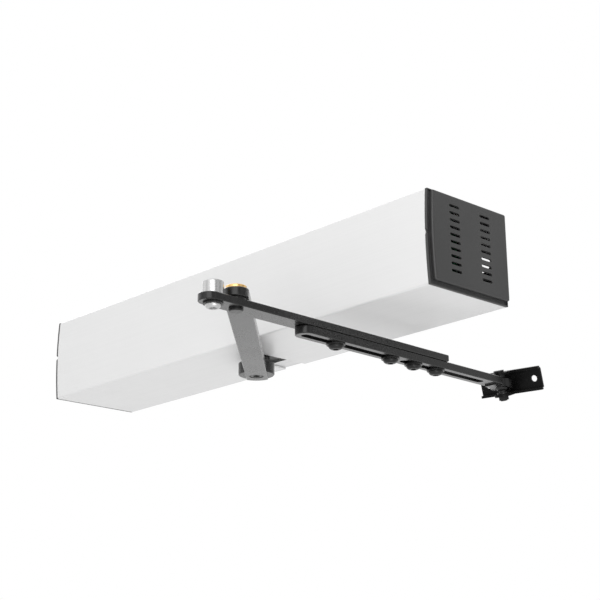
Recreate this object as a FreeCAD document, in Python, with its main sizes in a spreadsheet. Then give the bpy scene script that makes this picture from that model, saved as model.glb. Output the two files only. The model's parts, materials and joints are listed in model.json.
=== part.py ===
import FreeCAD, Part
import math
import os
import re

import Sketcher
from FreeCAD import Vector

# Swing-door closer: a long operator box with an articulated push arm and a door bracket.
# Millimetres. X runs along the box, Y = 0 is the wall and the front is at -Y, +Z is up.
# The origin is the centre of the box's wall face; the arm's spindle is at X = 0.

SIZES = {
    # fits
    "running_fit": 0.05, "close_gap": 0.1, "part_gap": 0.3,
    # cover and end caps
    "cover_length": 690, "cover_depth": 129, "cover_height": 109, "cover_wall": 2,
    "cover_bow": 2.4, "cover_corner": 2.5, "arm_slot_width": 36,
    "cap_base": 1, "cap_rim": 2, "cap_rim_wall": 1.1, "cap_plate": 5.8,
    "cap_inset_rear": 0.3, "cap_inset_front": 5.5, "cap_inset_low": 5.5, "cap_inset_top": 0.8,
    "cap_edge": 2.4, "cap_skirt": 8, "cap_wall": 2.2, "cap_notch": 7, "cap_notch_depth": 2.2,
    "vent_length": 16.8, "vent_width": 3.3, "vent_pitch": 8.27, "vent_spacing": 51,
    "vent_middle_depth": 64, "vent_middle_rise": 4.1,
    # chassis
    "chassis_wall": 4, "rail_depth": 25.6, "rail_wall": 3, "rail_lip": 6, "rail_lip_wall": 2,
    "wall_hole": 6.5, "wall_hole_span": 600, "wall_hole_rise": 66,
    "cable_hole": 22, "cable_hole_along": 318.5, "cable_hole_up": 3,
    # gearbox
    "spindle_depth": 66.4, "spindle_bore": 20, "box_floor": 6, "box_wall": 5,
    "box_inside": 36, "lid_thick": 6, "gear_room": 2.5, "bearing_ring": 11, "bearing_width": 12,
    "drive_module": 2, "drive_teeth": 42, "drive_width": 12, "layshaft_teeth": 12,
    "layshaft_bore": 10, "second_module": 1.5, "second_teeth": 34, "second_width": 8,
    "motor_teeth": 12, "motor_shaft": 8, "lid_screw": 5, "lid_pillar": 10,
    "gear_step": 4, "gear_backlash": 0.3, "gear_clearance": 0.8,
    # motor
    "motor_dia": 80, "motor_rise": 42, "motor_wall": 3, "bell_thick": 5, "rotor_dia": 58,
    "stator_gap": 1, "winding_rise": 24, "encoder_dia": 34,
    # closing spring
    "rack_teeth": 16, "rack_width": 18, "rack_back": 9.5, "rack_left": 34, "rack_right": 38,
    "rack_lead": 20, "rod_dia": 9, "tube_dia": 49, "tube_wall": 2.5, "tube_start": 70,
    "tube_length": 190, "plunger_thick": 8, "plunger_start": 22, "spring_wire": 5,
    "spring_coil": 34, "spring_turns": 13, "plug_thick": 10, "seat_thick": 6, "adjuster_dia": 10,
    # hub and lever
    "neck_dia": 33, "neck_drop": 7, "hub_dia": 45, "hub_drop": 22.5, "lever_drop": 14.4,
    "lever_thick": 9.6, "lever_width": 27, "lever_length": 328.5, "lever_angle": -45.26,
    "hub_screw_seat": 18, "hub_screw_head": 15.5, "hub_screw_land": 0.8, "hub_screw_dia": 10,
    "hub_screw_reach": 22, "edge_break": 0.7,
    # elbow
    "elbow_spacer_rise": 3, "spacer_dia": 21, "elbow_pin_dia": 12, "pin_head_dia": 15.5,
    "pin_head_rise": 3.2, "bush_dia": 18, "bush_collar_dia": 22.6, "bush_collar_rise": 3.4,
    # link
    "bar_width": 25, "bar_thick": 8, "link_angle": 91.86, "link_reach": 328.7, "link_tail": 36,
    "post_back": 31.5, "post_dia": 22, "post_rise": 14.5, "post_screw_dia": 10,
    "post_screw_head": 17, "post_washer_dia": 21,
    "clamp_first": 148.7, "clamp_second": 238.7, "clamp_third": 278.7, "clamp_fourth": 318.7,
    "clamp_dia": 8, "clamp_head": 17, "clamp_head_rise": 4.8, "clamp_washer_dia": 21,
    "washer_thick": 1.6, "button_rise": 4.6, "slotted_width": 23, "slotted_thick": 9,
    "slot_start": 96.7, "slot_length": 149, "slot_web": 11.5, "slot_width": 9.5,
    # ball end and door bracket
    "ball_reach": 444.7, "ball_drop": 41.3, "ball_dia": 18, "eye_dia": 27, "eye_thick": 10,
    "ball_collar": 9.4, "collar_foot_dia": 14, "collar_foot_rise": 2.1,
    "pivot_bolt_dia": 8, "pivot_nut_flats": 11.5, "pivot_nut_rise": 4.2,
    "bracket_angle": 13.5, "bracket_lean": 19,
    "bracket_length": 82, "bracket_height": 29.5, "bracket_wall": 3, "bracket_flange": 5,
    "bracket_offset": 5.6, "bracket_standoff": 18, "bracket_corner": 3, "ear_width": 21,
    "door_hole": 8, "door_hole_span": 62,
    # electrics
    "board_left": 160, "board_length": 132, "board_height": 84, "board_thick": 1.6,
    "board_standoff": 14, "core_width": 62, "core_depth": 50, "core_height": 60,
    "core_along": 303,
}

# Sizes that follow from the driving ones.
FOLLOWS = {
    "cover_bottom": "-cover_height / 2",
    "cover_half": "cover_length / 2",
    "chassis_half": "cover_height / 2 - cover_wall - part_gap",
    "chassis_length": "cover_length - 2 * cap_skirt - 2 * part_gap",
    "chassis_front": "-chassis_wall",
    "spindle_y": "-spindle_depth",
    "spindle_radius": "spindle_bore / 2",
    "drive_radius": "drive_module * drive_teeth / 2",
    "layshaft_radius": "drive_module * layshaft_teeth / 2",
    "layshaft_x": "drive_radius + layshaft_radius",
    "second_radius": "second_module * second_teeth / 2",
    "motor_pinion_radius": "second_module * motor_teeth / 2",
    "motor_x": "layshaft_x + second_radius + motor_pinion_radius",
    "floor_bottom": "rail_wall + part_gap - chassis_half",
    "floor_top": "floor_bottom + box_floor",
    "lid_bottom": "floor_top + box_inside",
    "lid_top": "lid_bottom + lid_thick",
    "boss_radius": "spindle_radius + bearing_ring + box_wall",
    "bearing_radius": "spindle_radius + bearing_ring",
    "drive_bottom": "floor_top + 10",
    "second_bottom": "drive_bottom + drive_width + gear_step",
    "room_radius": "drive_radius + drive_module + gear_room",
    "box_left": "room_radius + box_wall",
    "box_right": "motor_x + motor_pinion_radius + second_module + gear_room + box_wall",
    "box_front": "spindle_depth + room_radius + box_wall",
    "spring_pinion_radius": "drive_module * rack_teeth / 2",
    "spring_pinion_bottom": "lid_top + 4",
    "rack_line": "spindle_y + spring_pinion_radius",
    "rack_root": "rack_line + 1.25 * drive_module",
    "rack_rear": "rack_root + rack_back",
    "rack_bottom": "spring_pinion_bottom + 1",
    "rod_y": "rack_root + rack_back / 2",
    "rod_z": "rack_bottom + rack_width / 2",
    "plunger_front": "tube_start + plunger_start",
    "tube_end": "tube_start + tube_length",
    "seat_front": "tube_end - plug_thick - seat_thick - part_gap",
    "motor_bottom": "lid_top",
    "motor_top": "motor_bottom + motor_rise",
    "winding_bottom": "motor_bottom + 8",
    "lever_top": "cover_bottom - lever_drop",
    "lever_bottom": "lever_top - lever_thick",
    "hub_top": "cover_bottom - neck_drop",
    "hub_bottom": "cover_bottom - hub_drop",
    "spindle_bottom": "lever_top + close_gap",
    "spindle_top": "spring_pinion_bottom + rack_width + 6",
    "link_top": "lever_bottom - elbow_spacer_rise",
    "link_bottom": "link_top - bar_thick",
    "slotted_top": "link_bottom - part_gap",
    "slotted_bottom": "slotted_top - slotted_thick",
    "washer_top": "slotted_bottom - part_gap",
    "slotted_start": "slot_start - (slotted_width - slot_width) / 2",
    "second_slot": "slot_start + slot_length + slot_web",
    "ball_z": "cover_bottom - ball_drop",
    "board_y": "chassis_front - board_standoff",
    "board_front": "board_y - board_thick",
}

SPINDLE = "placement(vector(0; spindle_y; 0); rotation(vector(0; 0; 1); 0))"
LAYSHAFT = "placement(vector(layshaft_x; spindle_y; 0); rotation(vector(0; 0; 1); 0))"
MOTOR = "placement(vector(motor_x; spindle_y; 0); rotation(vector(0; 0; 1); 0))"
LEVER = "placement(vector(0; spindle_y; 0); rotation(vector(0; 0; 1); lever_angle))"
LINK = LEVER + (" * placement(vector(lever_length; 0; 0);"
                " rotation(vector(0; 0; 1); link_angle - lever_angle))")
BALL = LINK + (" * placement(vector(ball_reach; 0; ball_z);"
               " rotation(vector(0; 0; 1); bracket_angle - link_angle)"
               " * rotation(vector(1; 0; 0); bracket_lean))")

WORDS = re.compile(r"[a-z]+(?:_[a-z]+)*")

doc = FreeCAD.newDocument("door_closer")
sheet = doc.addObject("Spreadsheet::Sheet", "Dims")
for row, (alias, size) in enumerate(SIZES.items(), start=1):
    sheet.set("A%d" % row, alias)
    sheet.set("B%d" % row, str(size))
    sheet.setAlias("B%d" % row, alias)
doc.recompute()

probe = doc.addObject("Part::Vertex", "probe")
sub_parts = []


def bound(text):
    """The expression with every size's name turned into its cell."""
    def cell(match):
        word = match.group(0)
        if word in FOLLOWS:
            return "(" + bound(FOLLOWS[word]) + ")"
        return "Dims." + word if word in SIZES else word
    return WORDS.sub(cell, str(text))


def worth(text):
    """The value that an expression has now, in millimetres."""
    probe.setExpression("X", bound(text))
    probe.recompute()
    return probe.X.Value


def tie(thing, **sizes):
    for name, text in sizes.items():
        thing.setExpression(name, bound(text))


def seat(thing, frame):
    thing.setExpression("Placement", bound(frame))
    return thing


def at(x, y, z, axis="0; 0; 1", turn="0"):
    """A placement's expression: a point, and a turn in degrees about an axis."""
    return "placement(vector(%s; %s; %s); rotation(vector(%s); %s))" % (x, y, z, axis, turn)


def keep(thing, name, frame=None):
    """Names a sub-part, seats it in its frame and lists it for export."""
    thing.Label = name
    if frame:
        seat(thing, frame)
    sub_parts.append(thing)
    return thing


# ---------------------------------------------------------------- solids

def box(low_x, low_y, low_z, length, width, height):
    solid = doc.addObject("Part::Box", "block")
    tie(solid, Length=length, Width=width, Height=height)
    return seat(solid, at(low_x, low_y, low_z))


def rod(radius, height, frame):
    solid = doc.addObject("Part::Cylinder", "rod")
    tie(solid, Radius=radius, Height=height)
    return seat(solid, frame)


def hexagon(across_flats, height, frame):
    solid = doc.addObject("Part::Prism", "hexagon")
    solid.Polygon = 6
    tie(solid, Circumradius="(%s) / sqrt(3)" % across_flats, Height=height)
    return seat(solid, frame)


def fused(*solids):
    joined = doc.addObject("Part::MultiFuse", "joined")
    joined.Shapes = list(solids)
    joined.Refine = True
    return joined


def cut(base, *tools):
    left = doc.addObject("Part::Cut", "cut")
    left.Base = base
    left.Tool = tools[0] if len(tools) == 1 else fused(*tools)
    return left


def common(first, second):
    shared = doc.addObject("Part::Common", "shared")
    shared.Base = first
    shared.Tool = second
    return shared


def group(solids):
    together = doc.addObject("Part::Compound", "together")
    together.Links = list(solids)
    return together


def broken_edges(base, size, wanted):
    """Chamfers the edges that pass the test, by a size from the sheet."""
    doc.recompute()
    soft = doc.addObject("Part::Chamfer", "soft")
    soft.Base = base
    breadth = worth(size)
    soft.Edges = [(index, breadth, breadth)
                  for index, edge in enumerate(base.Shape.Edges, start=1) if wanted(edge)]
    return soft


def level(edge, *heights):
    """True for an edge that lies flat at one of the heights."""
    box_of_edge = edge.BoundBox
    return box_of_edge.ZLength < 1e-6 and any(abs(box_of_edge.ZMin - z) < 1e-6 for z in heights)


# ---------------------------------------------------------------- sketched bodies

def new_body(name):
    return doc.addObject("PartDesign::Body", name)


def new_sketch(body, role, offset="0"):
    sketch = body.newObject("Sketcher::SketchObject", body.Name + "_sketch")
    plane = [item for item in body.Origin.OriginFeatures if item.Role == role][0]
    sketch.AttachmentSupport = [(plane, "")]
    sketch.MapMode = "FlatFace"
    tie(sketch, **{"AttachmentOffset.Base.z": offset})
    return sketch


def pin_point(sketch, index, end, x, y):
    for kind, text in (("DistanceX", x), ("DistanceY", y)):
        place = sketch.addConstraint(
            Sketcher.Constraint(kind, -1, 1, index, end, worth(text)))
        tie(sketch, **{"Constraints[%d]" % place: text})


def polygon(sketch, points):
    """A closed outline of straight edges, each corner tied to the sheet."""
    corners = [Vector(worth(x), worth(y), 0) for x, y in points]
    count = len(points)
    for index in range(count):
        sketch.addGeometry(Part.LineSegment(corners[index], corners[(index + 1) % count]), False)
    for index in range(count):
        sketch.addConstraint(Sketcher.Constraint("Coincident", index, 2, (index + 1) % count, 1))
    for index, (x, y) in enumerate(points):
        pin_point(sketch, index, 1, x, y)
    return sketch


def bowed_outline(sketch, rear, front, low, high):
    """The box's section: flat top, bottom and rear, with a front that bows outwards."""
    back, face, floor, roof = [worth(text) for text in (rear, front, low, high)]
    top_rear, top_front = Vector(back, roof, 0), Vector(face, roof, 0)
    low_front, low_rear = Vector(face, floor, 0), Vector(back, floor, 0)
    middle = Vector(face - worth("cover_bow"), (floor + roof) / 2, 0)
    sketch.addGeometry(Part.LineSegment(low_front, low_rear), False)
    sketch.addGeometry(Part.LineSegment(low_rear, top_rear), False)
    sketch.addGeometry(Part.LineSegment(top_rear, top_front), False)
    sketch.addGeometry(Part.Arc(top_front, middle, low_front), False)
    for first, second in ((0, 1), (1, 2), (2, 3), (3, 0)):
        sketch.addConstraint(Sketcher.Constraint("Coincident", first, 2, second, 1))
    pin_point(sketch, 0, 1, front, low)
    pin_point(sketch, 1, 1, rear, low)
    pin_point(sketch, 2, 1, rear, high)
    pin_point(sketch, 3, 1, front, high)
    half = "(%s - (%s)) / 2" % (high, low)
    radius = "((%s) * (%s) + cover_bow * cover_bow) / (2 * cover_bow)" % (half, half)
    place = sketch.addConstraint(Sketcher.Constraint("Radius", 3, worth(radius)))
    tie(sketch, **{"Constraints[%d]" % place: radius})
    return sketch


def pad(body, sketch, length):
    feature = body.newObject("PartDesign::Pad", body.Name + "_pad")
    feature.Profile = sketch
    tie(feature, Length=length)
    doc.recompute()
    return feature


def pocket(body, sketch, length):
    """Cuts along the sketch's own direction, and checks that it took something away."""
    before = body.Shape.Volume
    feature = body.newObject("PartDesign::Pocket", body.Name + "_pocket")
    feature.Profile = sketch
    feature.Reversed = True
    tie(feature, Length=length)
    doc.recompute()
    if body.Shape.Volume >= before - 1e-6:
        raise RuntimeError(body.Name + ": the pocket cuts nothing")
    return feature


def dress(body, kind, size_name, size, wanted):
    """A PartDesign fillet or chamfer on the edges of the body's tip that pass the test."""
    tip = body.Tip
    names = ["Edge%d" % index for index, edge in enumerate(tip.Shape.Edges, start=1)
             if wanted(edge)]
    feature = body.newObject("PartDesign::" + kind, body.Name + "_" + kind.lower())
    feature.Base = (tip, names)
    tie(feature, **{size_name: size})
    doc.recompute()
    return feature


def turned(name, profile):
    """A turned piece: its half section in radius and height, revolved about Z."""
    body = new_body(name)
    sketch = polygon(new_sketch(body, "XZ_Plane"), profile)
    feature = body.newObject("PartDesign::Revolution", name + "_turn")
    feature.Profile = sketch
    feature.ReferenceAxis = (sketch, ["V_Axis"])
    feature.Angle = 360
    body.Tip = feature
    return body


def ring(name, inner, outer, low, rise):
    """A plain ring about Z."""
    high = "(%s) + (%s)" % (low, rise)
    return turned(name, [(inner, low), (outer, low), (outer, high), (inner, high)])


# ---------------------------------------------------------------- box

def inset_outline(body, start, rear, front, low, top):
    """The box's section at a place along it, drawn in from its four sides by the insets."""
    return bowed_outline(
        new_sketch(body, "YZ_Plane", start), "0 - (%s)" % rear, "%s - cover_depth" % front,
        "%s - cover_height / 2" % low, "cover_height / 2 - (%s)" % top)


def make_cover():
    body = new_body("cover_shell")
    pad(body, inset_outline(body, "0 - cover_half", "0", "0", "0", "0"), "cover_length")
    half = worth("cover_height / 2")
    front = worth("0 - cover_depth")

    def front_edge(edge):
        return edge.BoundBox.XLength > 1 and abs(abs(edge.BoundBox.ZMin) - half) < 1e-6 \
            and abs(edge.BoundBox.YMin - front) < 1e-6

    dress(body, "Fillet", "Radius", "cover_corner", front_edge)
    inner = inset_outline(body, "0 - cover_half - 1", "0 - 1", "cover_wall", "cover_wall",
                          "cover_wall")
    pocket(body, inner, "cover_length + 2")
    depth = "3 * cover_wall"
    low = "cover_bottom - cover_wall"
    mouth = box("0 - arm_slot_width / 2", "spindle_y", low, "arm_slot_width",
                "spindle_depth + 1", depth)
    round_end = rod("arm_slot_width / 2", depth, at("0", "spindle_y", low))
    keep(cut(body, mouth, round_end), "cover")


def cap_body():
    """The right-hand cap: a skirt in the cover, a rim with a gutter inside it, a face plate."""
    body = new_body("cap")
    skirt = ["cover_wall + part_gap"] * 4
    plate = ["cap_inset_rear", "cap_inset_front", "cap_inset_low", "cap_inset_top"]
    pad(body, inset_outline(body, "cover_half - cap_skirt", *skirt), "cap_skirt")
    pad(body, inset_outline(body, "cover_half", "0", "0", "0", "0"), "cap_base + cap_rim")
    pocket(body, inset_outline(body, "cover_half + cap_base", *["cap_rim_wall"] * 4), "cap_rim")
    pad(body, inset_outline(body, "cover_half + cap_base", *plate), "cap_plate")
    face = worth("cover_half + cap_base + cap_plate")

    def on_plate(edge):
        span = edge.BoundBox
        across = span.YLength < 1e-6 and span.ZLength < 1e-6
        return abs(span.XMax - face) < 1e-6 and (span.XLength < 1e-6 or across)

    dress(body, "Fillet", "Radius", "cap_edge", on_plate)
    start = "cover_half - cap_skirt - 1"
    rear, front, low, top = [inset + " + cap_wall" for inset in skirt]
    pocket(body, inset_outline(body, start, rear, front, low, top), "cap_skirt + 1")
    front, low = "cap_inset_front + cap_wall", "cap_inset_low + cap_wall"
    pocket(body, inset_outline(body, start, rear, front, low, top),
           "cap_skirt + 1 + cap_base + cap_plate - cap_wall")
    return body


def vent(along_y, up_z):
    """One round-ended vent through the face plate."""
    start = "cover_half - 1"
    through = "cap_base + cap_plate + 2"
    flat = "(vent_length - vent_width)"
    bar = box(start, "%s - %s / 2" % (along_y, flat), "%s - vent_width / 2" % up_z,
              through, flat, "vent_width")
    ends = [rod("vent_width / 2", through,
                at(start, "%s %s %s / 2" % (along_y, sign, flat), up_z, "0; 1; 0", "90"))
            for sign in "+-"]
    return fused(bar, *ends)


def grip_notch():
    """The V through the rim's front edge, level with the vents' middle."""
    front = "0 - cover_depth - cover_bow"
    low, high = ["vent_middle_rise %s cap_notch / 2" % sign for sign in "-+"]
    body = new_body("notch")
    sketch = polygon(new_sketch(body, "YZ_Plane", "cover_half"), [
        ("%s - 1" % front, low), (front, low), ("%s + cap_notch_depth" % front,
                                                "vent_middle_rise"),
        (front, high), ("%s - 1" % front, high)])
    pad(body, sketch, "cap_base + cap_rim")
    return body


def make_caps():
    vents = []
    for side in (-1, 1):
        middle = "(0 - vent_middle_depth + %d * vent_spacing / 2)" % side
        for row in range(10):
            up = "(vent_middle_rise + (%g) * vent_pitch)" % (row - 4.5)
            vents.append(vent(middle, up))
    right = keep(cut(cap_body(), grip_notch(), *vents), "end_cap_right")
    left = doc.addObject("Part::Mirroring", "mirrored_cap")
    left.Source = right
    left.Normal = Vector(1, 0, 0)
    keep(left, "end_cap_left")


def make_back_plate():
    body = new_body("chassis")
    lip = "(chassis_half - rail_lip)"
    inner = "(chassis_half - rail_wall)"
    front, lip_rear = "0 - rail_depth", "rail_lip_wall - rail_depth"
    upper = [("0", "chassis_half"), (front, "chassis_half"), (front, lip), (lip_rear, lip),
             (lip_rear, inner), ("chassis_front", inner)]
    lower = [(y, "0 - (%s)" % z) for y, z in reversed(upper)]
    sketch = polygon(new_sketch(body, "YZ_Plane", "0 - chassis_length / 2"), upper + lower)
    pad(body, sketch, "chassis_length")
    holes = [rod("wall_hole / 2", "chassis_wall + 2",
                 at("%s * wall_hole_span / 2" % x, "1", "%s * wall_hole_rise / 2" % z,
                    "1; 0; 0", "90"))
             for x in ("-1", "1") for z in ("-1", "1")]
    cable = rod("cable_hole / 2", "chassis_wall + 2",
                at("cable_hole_along", "1", "cable_hole_up", "1; 0; 0", "90"))
    keep(cut(body, cable, *holes), "back_plate")


# ---------------------------------------------------------------- gearbox

def make_gearbox():
    depth = "box_front - chassis_wall"
    corners = lid_corners()
    outer = box("0 - box_left", "0 - box_front", "floor_bottom", "box_left + box_right", depth,
                "box_floor + box_inside")
    room = box("box_wall - box_left", "box_wall - box_front", "floor_top",
               "box_left + box_right - 2 * box_wall", "%s - 2 * box_wall" % depth,
               "box_inside + 1")
    boss = rod("boss_radius", "bearing_width + 2", at("0", "spindle_y", "floor_bottom"))
    pocket_low = rod("bearing_radius", "bearing_width + 1",
                     at("0", "spindle_y", "floor_bottom + 2"))
    through = rod("spindle_radius + 2", "4", at("0", "spindle_y", "floor_bottom - 1"))
    foot = rod("layshaft_bore / 2 + running_fit", "4",
               at("layshaft_x", "spindle_y", "floor_top - 3.5"))
    pillars = [rod("lid_pillar / 2", "box_inside", at(x, y, "floor_top")) for x, y in corners]
    taps = [rod("lid_screw / 2", "13", at(x, y, "lid_bottom - 12")) for x, y in corners]
    lip_relief = box("0 - box_left - 1", "0 - rail_depth - part_gap", "floor_bottom - 1",
                     "box_left + box_right + 2", "rail_lip_wall + 2 * part_gap",
                     "rail_lip - rail_wall + 1")
    keep(cut(fused(cut(outer, room), boss, *pillars), pocket_low, through, foot, lip_relief,
             *taps), "gearbox_housing")

    lid = box("0 - box_left", "0 - box_front", "lid_bottom", "box_left + box_right", depth,
              "lid_thick")
    upper_boss = rod("boss_radius", "box_wall", at("0", "spindle_y", "lid_bottom - box_wall"))
    seat_hole = rod("bearing_radius", "bearing_width",
                    at("0", "spindle_y", "lid_bottom - box_wall - 2"))
    clear_hole = rod("spindle_radius + 2", "box_wall + lid_thick + 2",
                     at("0", "spindle_y", "lid_bottom - box_wall - 1"))
    head = rod("layshaft_bore / 2 + running_fit", "4",
               at("layshaft_x", "spindle_y", "lid_bottom - 1"))
    pilot = rod("motor_pinion_radius + second_module + 2", "lid_thick + 2",
                at("motor_x", "spindle_y", "lid_bottom - 1"))
    gear_relief = rod("second_radius + second_module + gear_clearance",
                      "lid_bottom - second_bottom + gear_clearance",
                      at("layshaft_x", "spindle_y", "second_bottom - gear_clearance"))
    screw_holes = [rod("lid_screw / 2", "lid_thick + 2", at(x, y, "lid_bottom - 1"))
                   for x, y in corners]
    keep(cut(fused(lid, upper_boss), seat_hole, clear_hole, head, pilot, gear_relief,
             *screw_holes),
         "gearbox_lid")
    keep(group([cap_screw("lid_screw", "1.7 * lid_screw", "lid_screw", "lid_thick + 10",
                          at(x, y, "lid_top")) for x, y in corners]), "lid_screws")

    for name, low in (("lower_bearing", "floor_bottom + 2"),
                      ("upper_bearing", "lid_top - bearing_width - 1")):
        keep(ring(name, "spindle_radius + running_fit", "bearing_radius", low,
                  "bearing_width"), name, SPINDLE)


def lid_corners():
    """Where the lid's four screws stand, a wall's width in from the housing's sides."""
    return [(x, y) for x in ("box_wall - box_left", "box_right - box_wall")
            for y in ("box_wall - box_front", "0 - chassis_wall - box_wall")]


def cap_screw(dia, head_dia, head_rise, shank, frame):
    """A socket-head screw standing on its seat: the head is up, the shank goes down."""
    head = rod("(%s) / 2" % head_dia, head_rise, at("0", "0", "0"))
    stem = rod("(%s) / 2" % dia, "(%s) + 0.01" % shank, at("0", "0", "0 - (%s)" % shank))
    socket = hexagon("0.75 * (%s)" % dia, "(%s) * 0.6 + 1" % head_rise,
                     at("0", "0", "(%s) * 0.4" % head_rise))
    return seat(cut(fused(head, stem), socket), frame)


def button_screw(dia, head_dia, head_rise, shank, frame):
    """A low domed socket screw standing on its seat: the head is up, the shank goes down."""
    radius, stem = "(%s) / 2" % head_dia, "(%s) / 2" % dia
    body = turned("button_screw", [
        ("0", "0 - (%s)" % shank), (stem, "0 - (%s)" % shank), (stem, "0"), (radius, "0"),
        (radius, "0.3 * (%s)" % head_rise), ("0.9 * %s" % radius, "0.64 * (%s)" % head_rise),
        ("0.74 * %s" % radius, "0.87 * (%s)" % head_rise), ("0.55 * %s" % radius, head_rise),
        ("0", head_rise)])
    socket = hexagon("0.75 * (%s)" % dia, head_rise, at("0", "0", "(%s) * 0.3" % head_rise))
    return seat(cut(body, socket), frame)


def involute_gear(name, teeth, module, bore, low, rise, turn):
    """A spur gear with involute flanks and a 25 degree pressure angle. Turn is in degrees."""
    pitch = module * teeth / 2
    base = pitch * math.cos(math.radians(25))
    tip, root = pitch + module, pitch - 1.25 * module
    roll_at_pitch = math.tan(math.radians(25)) - math.radians(25)
    half_tooth = math.pi / (2 * teeth) - worth("gear_backlash") / (4 * pitch)
    flank = []
    steps = 5
    start = max(base, root)
    for step in range(steps + 1):
        radius = start + (tip - start) * step / steps
        angle = math.acos(min(1, base / radius))
        flank.append((radius, half_tooth + roll_at_pitch - (math.tan(angle) - angle)))
    if root < base:
        flank.insert(0, (root, flank[0][1]))
    points = []
    for tooth in range(teeth):
        middle = 2 * math.pi * tooth / teeth + math.radians(turn)
        for side, stations in ((-1, flank), (1, flank[::-1])):
            for radius, half in stations:
                angle = middle + side * half
                points.append(Vector(radius * math.cos(angle), radius * math.sin(angle), low))
    blank = Part.Face(Part.makePolygon(points + points[:1])).extrude(Vector(0, 0, rise))
    hole = Part.makeCylinder(bore, rise, Vector(0, 0, low))
    wheel = doc.addObject("Part::Feature", name)
    wheel.Shape = blank.cut(hole)
    return wheel


def make_gears():
    drive, second = worth("drive_module"), worth("second_module")
    drive_low, second_low = worth("drive_bottom"), worth("second_bottom")
    drive_rise, second_rise = worth("drive_width"), worth("second_width")
    small = round(worth("layshaft_teeth"))
    last = round(worth("motor_teeth"))
    keep(involute_gear("drive_gear", round(worth("drive_teeth")), drive,
                       worth("spindle_radius"), drive_low, drive_rise, 0), "drive_gear", SPINDLE)
    keep(involute_gear("layshaft_pinion", small, drive, worth("layshaft_bore / 2"),
                       drive_low - 2, drive_rise + 4, 180 + 180 / small),
         "layshaft_pinion", LAYSHAFT)
    keep(involute_gear("layshaft_gear", round(worth("second_teeth")), second,
                       worth("layshaft_bore / 2"), second_low, second_rise, 0),
         "layshaft_gear", LAYSHAFT)
    keep(involute_gear("motor_pinion", last, second, worth("motor_shaft / 2"),
                       second_low - 2, second_rise + 4, 180 + 180 / last),
         "motor_pinion", MOTOR)
    keep(involute_gear("spring_pinion", round(worth("rack_teeth")), drive,
                       worth("spindle_radius"), worth("spring_pinion_bottom"),
                       worth("rack_width + 2"), 90), "spring_pinion", SPINDLE)
    shaft_low = "floor_top - 3"
    keep(rod("layshaft_bore / 2", "lid_bottom + 2 - (%s)" % shaft_low,
             at("layshaft_x", "spindle_y", shaft_low)), "layshaft")
    keep(cut(rod("spindle_radius", "spindle_top - spindle_bottom",
                 at("0", "spindle_y", "spindle_bottom")),
             rod("hub_screw_dia / 2", "hub_screw_reach + 2",
                 at("0", "spindle_y", "spindle_bottom - 1"))), "spindle")


# ---------------------------------------------------------------- motor

def make_motor():
    outer = "motor_dia / 2"
    bore = "motor_shaft / 2 + running_fit"
    floor = "motor_bottom + motor_wall"
    keep(turned("motor_can_body", [
        (bore, "motor_bottom"), (outer, "motor_bottom"), (outer, "motor_top"),
        ("%s - motor_wall" % outer, "motor_top"), ("%s - motor_wall" % outer, floor),
        (bore, floor)]), "motor_can", MOTOR)
    keep(turned("motor_bell_body", [
        (bore, "motor_top"), (outer, "motor_top"), (outer, "motor_top + bell_thick - 2"),
        ("%s - 2" % outer, "motor_top + bell_thick"), (bore, "motor_top + bell_thick")]),
        "motor_end_bell", MOTOR)
    keep(ring("motor_stator_body", "rotor_dia / 2 + stator_gap", "%s - motor_wall" % outer,
              "winding_bottom", "winding_rise"), "motor_stator", MOTOR)
    keep(ring("motor_rotor_body", "motor_shaft / 2", "rotor_dia / 2", "winding_bottom",
              "winding_rise"), "motor_rotor", MOTOR)
    shaft_low = "second_bottom - 2"
    keep(rod("motor_shaft / 2", "motor_top + bell_thick + 3 - (%s)" % shaft_low,
             at("motor_x", "spindle_y", shaft_low)), "motor_shaft")
    keep(ring("encoder_body", "motor_shaft / 2", "encoder_dia / 2",
              "motor_top + bell_thick + 1", "1.2"), "encoder_disc", MOTOR)


# ---------------------------------------------------------------- closing spring

def make_rack():
    """The rack has a tooth gap on the spindle's line, where the pinion's tooth stands."""
    module = worth("drive_module")
    pitch = math.pi * module
    slope = math.tan(math.radians(25))
    line, root, rear = worth("rack_line"), worth("rack_root"), worth("rack_rear")
    low, rise = worth("rack_bottom"), worth("rack_width")
    half = pitch / 4 - worth("gear_backlash") / 4
    tip_y = line - module
    tip_half, root_half = half - module * slope, half + (root - line) * slope
    outline = [Vector(-worth("rack_left"), root, low)]
    first = math.ceil(-worth("rack_lead") / pitch)
    last = math.floor((worth("rack_right") - 3) / pitch)
    for index in range(first, last):
        middle = (index + 0.5) * pitch
        for offset, y in ((-root_half, root), (-tip_half, tip_y), (tip_half, tip_y),
                          (root_half, root)):
            outline.append(Vector(middle + offset, y, low))
    outline += [Vector(worth("rack_right"), root, low), Vector(worth("rack_right"), rear, low),
                Vector(-worth("rack_left"), rear, low)]
    rack = doc.addObject("Part::Feature", "rack_bar")
    rack.Shape = Part.Face(Part.makePolygon(outline + outline[:1])).extrude(Vector(0, 0, rise))
    keep(rack, "return_rack")


def along_box(start, end):
    """The frame of a piece whose own Z runs from the spindle towards the box's left end."""
    return at(start, "rod_y", "rod_z", "0; 1; 0", "-90"), "(%s) - (%s)" % (start, end)


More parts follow.
